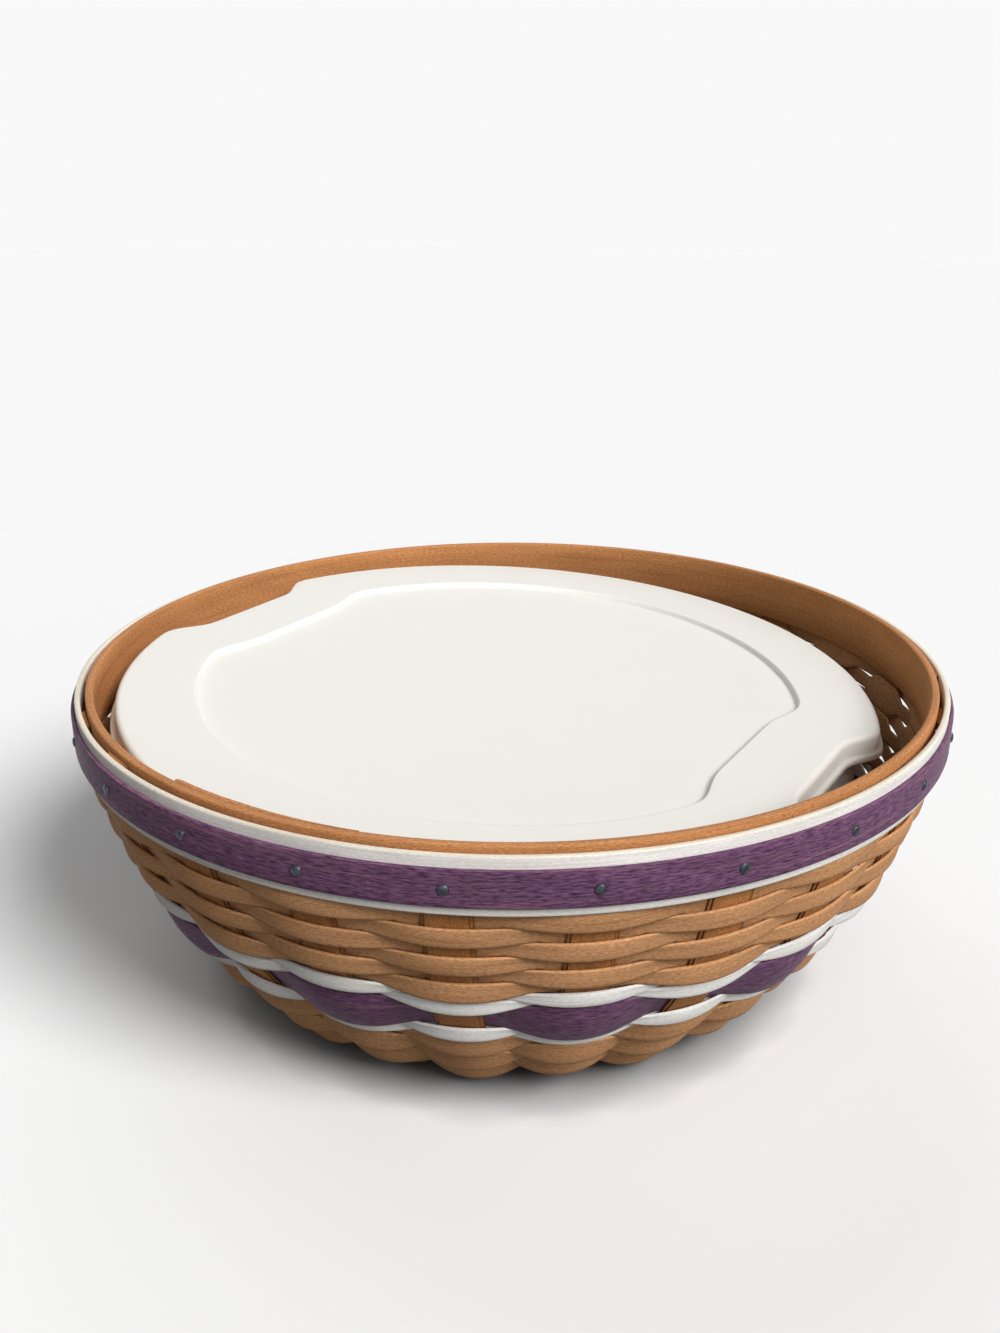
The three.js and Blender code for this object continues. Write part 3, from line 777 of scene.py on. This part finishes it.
def band_lap(name, bottom, top, material):
    """The end of the inner band where it laps inside its start, thinned to a scarf."""
    angles = np.linspace(LAP_START, LAP_END, LAP_STEPS)
    share = np.linspace(0, 1, LAP_STEPS)
    thickness = LAP_THICKNESS * np.clip((1 - share) / LAP_SCARF, LAP_THIN, 1)
    thickness[0] *= LAP_CUT
    half_width = (top - bottom) / 2
    sections = []
    for angle, thick in zip(angles, thickness):
        across, through = strip_section(half_width, thick / 2)
        along = INNER_BAND_INNER - LAP_GAP - thick / 2 + through
        sections.append(around_axis(angle, along, 0.0, (top + bottom) / 2 + across))
    # The thin end's section lays out the grain and the edges all along
    edges = np.tile(edge_distances(-across, half_width), (LAP_STEPS, 1))
    around = round_uv(across, through) + LAP_SHIFT
    return sweep(name, np.array(sections), INNER_BAND_INNER * angles, around, False, material, edges)


def build_bands():
    top = RIM_HEIGHT + INNER_BAND_RISE
    bottom = top - INNER_BAND_HEIGHT
    inner = hoop(
        "inner_band_hoop", INNER_BAND_INNER, INNER_BAND_OUTER, bottom, top, BAND_BROWN, 1, start=LAP_START
    )
    settle(inner, "basket", ["inner_band"])
    lap = band_lap("inner_band_lap", bottom + LAP_FOOT_INSET, top - LAP_TOP_INSET, BAND_BROWN)
    settle(lap, "basket", ["inner_band"])
    outer_inside = RIM_RADIUS - OUTER_BAND_THICKNESS
    outer = hoop("outer_band_hoop", outer_inside, RIM_RADIUS, BAND_BOTTOM, RIM_HEIGHT, BAND_WHITE, 2)
    settle(outer, "basket", ["outer_band"])
    trim_top = RIM_HEIGHT - TRIM_DROP
    trim_inside = TRIM_INNER - TRIM_PRESS
    trim = hoop("trim_strip_hoop", trim_inside, TRIM_OUTER, trim_top - TRIM_WIDTH, trim_top, PURPLE, 3)
    settle(trim, "basket", ["trim_strip"])


# Tacks
def tack_outline():
    """Radius and rise from the point of a tack up its shank and over its domed head."""
    length = TRIM_OUTER - INNER_BAND_INNER
    outline = [
        (TACK_POINT_RADIUS, -length),
        (TACK_SHANK_RADIUS, -length + TACK_POINT_LENGTH),
        (TACK_SHANK_RADIUS, 0.0),
        (TACK_HEAD_RADIUS, 0.0),
    ]
    for step in range(1, TACK_STEPS + 1):
        lean = step / TACK_STEPS * math.pi / 2
        radius = TACK_HEAD_RADIUS * math.cos(lean) + TACK_CROWN_RADIUS
        outline.append((radius, TACK_HEAD_RISE * math.sin(lean)))
    return outline


def build_tacks():
    outline = tack_outline()
    turn = np.arange(TACK_SIDES) * 2 * math.pi / TACK_SIDES
    for index in range(UPRIGHTS):
        sections = []
        for radius, rise in outline:
            along = TRIM_OUTER + TACK_HEAD_GAP + rise
            height = RIM_HEIGHT - TACK_DROP + radius * np.sin(turn)
            sections.append(around_axis(upright_angle(index), along, radius * np.cos(turn), height))
        node = f"tack_{index + 1:02d}"
        lengths = np.arange(len(outline) + 1)
        around = np.arange(TACK_SIDES + 1)
        piece = sweep(f"{node}_steel", np.array(sections), lengths, around, False, STEEL)
        settle(piece, "basket", [node])


# Lid and liner
def cut_circle(angle, radius, chord, half_length, half_mouth):
    """Radius of a circle with a straight cut across it at each end of the X axis."""
    fold = np.abs(np.arctan2(np.sin(angle), np.abs(np.cos(angle))))
    mouth_x = math.sqrt(radius**2 - half_mouth**2)
    dx, dy = mouth_x - chord, half_mouth - half_length
    slope = (chord * dy - half_length * dx) / (np.cos(fold) * dy - np.sin(fold) * dx)
    inside = np.where(fold <= math.atan2(half_length, chord), chord / np.cos(fold), slope)
    return np.where(fold >= math.atan2(half_mouth, mouth_x), radius, inside)


OUTLINE_TURN = np.arange(OUTLINE_STEPS) * 2 * math.pi / OUTLINE_STEPS


def soften(values, softness):
    """Rounds the corners of a closed outline."""
    reach = np.minimum(OUTLINE_TURN, 2 * math.pi - OUTLINE_TURN)
    weight = np.exp(-((reach / softness) ** 2) / 2)
    return np.real(np.fft.ifft(np.fft.fft(values) * np.fft.fft(weight / weight.sum())))


LID_OUTLINE = soften(
    cut_circle(OUTLINE_TURN, LID_RADIUS, NOTCH_CHORD, NOTCH_HALF_LENGTH, NOTCH_HALF_MOUTH),
    OUTLINE_SOFTNESS,
)
PANEL_OUTLINE = soften(
    cut_circle(OUTLINE_TURN, PANEL_RADIUS, PANEL_CHORD, PANEL_HALF_LENGTH, PANEL_HALF_MOUTH),
    PANEL_SOFTNESS,
)


def loft(name, rings, material):
    """A closed skin through rings of (radii, height), capped at both ends and set askew in the bowl."""
    sections = np.zeros((len(rings), OUTLINE_STEPS, 3))
    for i, (radii, height) in enumerate(rings):
        along = radii * np.cos(OUTLINE_TURN + LINER_TURN)
        rise = height - LID_TOP
        sections[i, :, 0] = LINER_SHIFT[0] + along * math.cos(LINER_TILT) + rise * math.sin(LINER_TILT)
        sections[i, :, 1] = LINER_SHIFT[1] + radii * np.sin(OUTLINE_TURN + LINER_TURN)
        sections[i, :, 2] = LID_TOP - along * math.sin(LINER_TILT) + rise * math.cos(LINER_TILT)
    return sweep(name, sections, np.arange(len(rings) + 1), np.arange(OUTLINE_STEPS + 1), False, material)


def quarter_round(radius, steps):
    """How far a quarter circle has run along and risen off its start, step by step."""
    turns = np.linspace(0, math.pi / 2, steps + 1)
    return [(radius * math.sin(turn), radius * (1 - math.cos(turn))) for turn in turns]


def build_lid():
    floor = LID_TOP - PANEL_DEPTH
    foot = LID_TOP - LID_SKIRT
    lip_top = foot + LID_LIP_HEIGHT
    fillet_top = lip_top + LID_LIP_FILLET
    inside = LID_TOP - LID_THICKNESS
    underside = inside - PANEL_DEPTH
    step_start = PANEL_OUTLINE - PANEL_STEP_INSET
    round_start = LID_OUTLINE - LID_ROUND
    lip = LID_OUTLINE + LID_LIP
    rings = [(PANEL_OUTLINE * share, floor) for share in PANEL_RINGS]
    rings.append((step_start - STEP_FLAT, floor))
    for share in np.linspace(0, 1, LID_STEPS + 1):
        rise = PANEL_DEPTH * ease(ease(share, 0, 1), 0, 1)
        rings.append((step_start + PANEL_STEP_RUN * share, floor + rise))
    rings.append((step_start + PANEL_STEP_RUN + STEP_FLAT, LID_TOP))
    rings.append((round_start - LID_FLAT, LID_TOP))
    rings += [(round_start + run, LID_TOP - drop) for run, drop in quarter_round(LID_ROUND, LID_STEPS)]
    rings += [
        (LID_OUTLINE + run, fillet_top - drop) for drop, run in quarter_round(LID_LIP_FILLET, FILLET_STEPS)
    ]
    rings += [
        (lip - LID_LIP_CHAMFER, lip_top),
        (lip, lip_top - LID_LIP_CHAMFER),
        (lip, foot + LID_LIP_CHAMFER),
        (lip - LID_LIP_CHAMFER, foot),
        (LID_OUTLINE - LID_THICKNESS, foot),
        (LID_OUTLINE - LID_THICKNESS, inside),
        (PANEL_OUTLINE + LID_THICKNESS, inside),
        (PANEL_OUTLINE - PANEL_UNDER_INSET, underside),
    ]
    rings += [(PANEL_OUTLINE * share, underside) for share in UNDERSIDE_RINGS]
    settle(loft("lid_shell", rings, LID_PLASTIC), "lid", ["lid"])


def liner_floor():
    """Height of the liner's floor on its own axis, where the tilted floor clears the piled stakes."""
    slope = math.tan(LINER_TILT)
    lean = LINER_SHIFT[0] - (LID_TOP - HUB_TOP) * slope
    seats = []
    for layer in range(STAKES):
        top = BASE_LEVEL + layer * HUB_PITCH + HUB_THICKNESS / 2
        reach = HUB_RADIUS * abs(math.cos(upright_angle(layer))) + HUB_WIDTH / 2
        seats.append(top + FIT_GAP + slope * (reach - lean))
    return LID_TOP - (LID_TOP - max(seats)) / math.cos(LINER_TILT)


def build_liner():
    flange_top = LID_TOP - LID_THICKNESS - FIT_GAP
    under = flange_top - LINER_THICKNESS
    flange = LID_OUTLINE - LID_THICKNESS - LID_CLEARANCE
    top_radius = LID_RADIUS - LID_THICKNESS - LID_CLEARANCE - LINER_FLANGE
    floor = liner_floor()
    floor_top = floor + LINER_THICKNESS

    def wall(height):
        fade = min(max(1 - (flange_top - height) / LINER_FADE, 0), 1)
        return min(top_radius, wall_radius_at(height) - LINER_CLEARANCE) - (LID_RADIUS - LID_OUTLINE) * fade

    heights = np.linspace(floor + LINER_CORNER_RISE, under, LINER_STEPS)
    corner = wall(heights[0]) - LINER_CORNER_RUN
    rings = [(corner * CAP_SHARE, floor), (corner, floor)]
    rings += [(wall(height), height) for height in heights]
    rings += [(flange, under), (flange, flange_top), (wall(under) - LINER_THICKNESS, flange_top)]
    rings += [(wall(height) - LINER_THICKNESS, height) for height in heights[-2::-1]]
    rings += [(corner - LINER_THICKNESS, floor_top), (corner * CAP_SHARE, floor_top)]
    settle(loft("liner_bowl", rings, LINER_PLASTIC), "liner", ["liner"])


build_weave()
build_stakes()
build_bands()
build_tacks()
build_lid()
build_liner()

# Camera: the photograph's viewpoint, in millimetres and degrees about the middle of the rim
CAMERA_AZIMUTH = 34.25
CAMERA_ELEVATION = 20.63
CAMERA_DISTANCE = 495.0
CAMERA_ROLL = 0.064
CAMERA_SIDE = 4.36
CAMERA_RISE = 6.09
FOCAL_PIXELS = 1250
IMAGE_HEIGHT = 1333


def add_camera():
    """The camera, and the level directions to its right and ahead of it."""
    azimuth, elevation = math.radians(CAMERA_AZIMUTH), math.radians(CAMERA_ELEVATION)
    right = Vector((math.cos(azimuth), math.sin(azimuth), 0))
    level = Vector((-math.sin(azimuth), math.cos(azimuth), 0))
    ahead = level * math.cos(elevation) - Vector((0, 0, 1)) * math.sin(elevation)
    up = right.cross(ahead)
    roll = math.radians(CAMERA_ROLL)
    side = right * math.cos(roll) - up * math.sin(roll)
    top = right * math.sin(roll) + up * math.cos(roll)
    middle = Vector((0, 0, RIM_HEIGHT))
    spot = middle - ahead * CAMERA_DISTANCE - side * CAMERA_SIDE - top * CAMERA_RISE
    data = bpy.data.cameras.new("camera")
    data.sensor_width = 36.0
    data.lens = data.sensor_width * FOCAL_PIXELS / IMAGE_HEIGHT
    data.clip_start = 0.01
    camera = bpy.data.objects.new("camera", data)
    turn = Matrix((side, top, -ahead)).transposed().to_4x4()
    camera.matrix_world = Matrix.Translation(spot * MM) @ turn
    bpy.context.scene.collection.objects.link(camera)
    bpy.context.scene.camera = camera
    return right, level


VIEW_RIGHT, VIEW_AHEAD = add_camera()

# Floor and light, with sizes in metres
FLOOR_SIZE = 6.0  # half of the floor's side
FLOOR_DROP = 0.0002  # below the basket
FLOOR_TONE = 1.0  # of the floor as it is seen
PAINTED_SHADE_REACH = 0.018  # how far from the basket the floor's painted shade reaches
FLOOR_BOUNCE = 0.14  # the share of light that the floor gives back to the basket
BACKDROP_TONE = 0.95
SKY_DIM = 0.03  # soft light from the side away from the window
SKY_BRIGHT = 0.2  # soft light from the window's side
SKY_START = 0.05  # how squarely a direction faces the window's side where the light begins to rise
SKY_FULL = 0.95  # and where it is full


def mix_for_eye(tree, seen, felt):
    """A value that differs between what the eye or a reflection sees and what lights the basket."""
    path = tree.nodes.new("ShaderNodeLightPath")
    either = path.outputs["Is Camera Ray"]
    for name in ("Is Glossy Ray", "Is Transmission Ray"):
        join = tree.nodes.new("ShaderNodeMath")
        join.operation = "MAXIMUM"
        tree.links.new(either, join.inputs[0])
        tree.links.new(path.outputs[name], join.inputs[1])
        either = join.outputs[0]
    mix = tree.nodes.new("ShaderNodeMix")
    tree.links.new(either, mix.inputs["Factor"])
    for value, socket in ((felt, mix.inputs["A"]), (seen, mix.inputs["B"])):
        if isinstance(value, float):
            socket.default_value = value
        else:
            tree.links.new(value, socket)
    return mix.outputs["Result"]


def add_floor():
    """A white floor with painted shade close to the basket, where ambient occlusion darkens its colour as
    seen.
    """
    mesh = bpy.data.meshes.new("floor")
    corners = [(x * FLOOR_SIZE, y * FLOOR_SIZE, 0) for x, y in ((-1, -1), (1, -1), (1, 1), (-1, 1))]
    mesh.from_pydata(corners, [], [(0, 1, 2, 3)])
    material, tree, shader = new_material("floor_white")
    # painted shade: ambient occlusion darkens the floor's seen colour near the basket
    painted_shade = tree.nodes.new("ShaderNodeAmbientOcclusion")
    painted_shade.inputs["Color"].default_value = grey(FLOOR_TONE)
    painted_shade.inputs["Distance"].default_value = PAINTED_SHADE_REACH
    tree.links.new(mix_for_eye(tree, painted_shade.outputs["Color"], FLOOR_BOUNCE), shader.inputs["Base Color"])
    shader.inputs["Roughness"].default_value = 0.9
    shader.inputs["Specular IOR Level"].default_value = 0.0
    mesh.materials.append(material)
    floor = bpy.data.objects.new("floor", mesh)
    floor.location.z = -FLOOR_DROP
    bpy.context.scene.collection.objects.link(floor)


def along_view(right, ahead, up):
    """A direction given by how far it goes right and ahead in the view, and up."""
    return (VIEW_RIGHT * right + VIEW_AHEAD * ahead + Vector((0, 0, up))).normalized()


def add_sun(name, toward, spread, strength, is_shiny=True):
    """A soft distant lamp in a direction, with an angular size in degrees, seen in gloss or not."""
    data = bpy.data.lights.new(name, "SUN")
    data.angle = math.radians(spread)
    data.energy = strength
    lamp = bpy.data.objects.new(name, data)
    lamp.location = toward
    lamp.visible_glossy = is_shiny
    lamp.rotation_euler = (-toward).to_track_quat("-Z", "Y").to_euler()
    bpy.context.scene.collection.objects.link(lamp)


def add_world():
    """A soft sky, brighter on the window's side, behind a plain backdrop."""
    world = bpy.data.worlds.new("studio")
    bpy.context.scene.world = world
    world.use_nodes = True
    tree = world.node_tree
    facing = tree.nodes.new("ShaderNodeVectorMath")
    facing.operation = "DOT_PRODUCT"
    tree.links.new(tree.nodes.new("ShaderNodeTexCoord").outputs["Generated"], facing.inputs[0])
    facing.inputs[1].default_value = along_view(right=0.75, ahead=-0.55, up=0.35)
    sky = tree.nodes.new("ShaderNodeMapRange")
    sky.interpolation_type = "SMOOTHSTEP"
    sky.inputs["From Min"].default_value = SKY_START
    sky.inputs["From Max"].default_value = SKY_FULL
    sky.inputs["To Min"].default_value = SKY_DIM
    sky.inputs["To Max"].default_value = SKY_BRIGHT
    tree.links.new(facing.outputs["Value"], sky.inputs["Value"])
    background = tree.nodes["Background"]
    background.inputs["Color"].default_value = grey(1.0)
    tree.links.new(mix_for_eye(tree, BACKDROP_TONE, sky.outputs["Result"]), background.inputs["Strength"])


add_floor()
add_sun("window", along_view(right=0.69, ahead=-0.73, up=0.88), spread=26, strength=2.85)
add_sun("front", along_view(right=0.3, ahead=-0.9, up=0.5), spread=80, strength=0.85)
add_sun("back", along_view(right=-0.35, ahead=0.9, up=0.75), spread=60, strength=0.65, is_shiny=False)
add_world()
bpy.context.scene.view_settings.view_transform = "Standard"
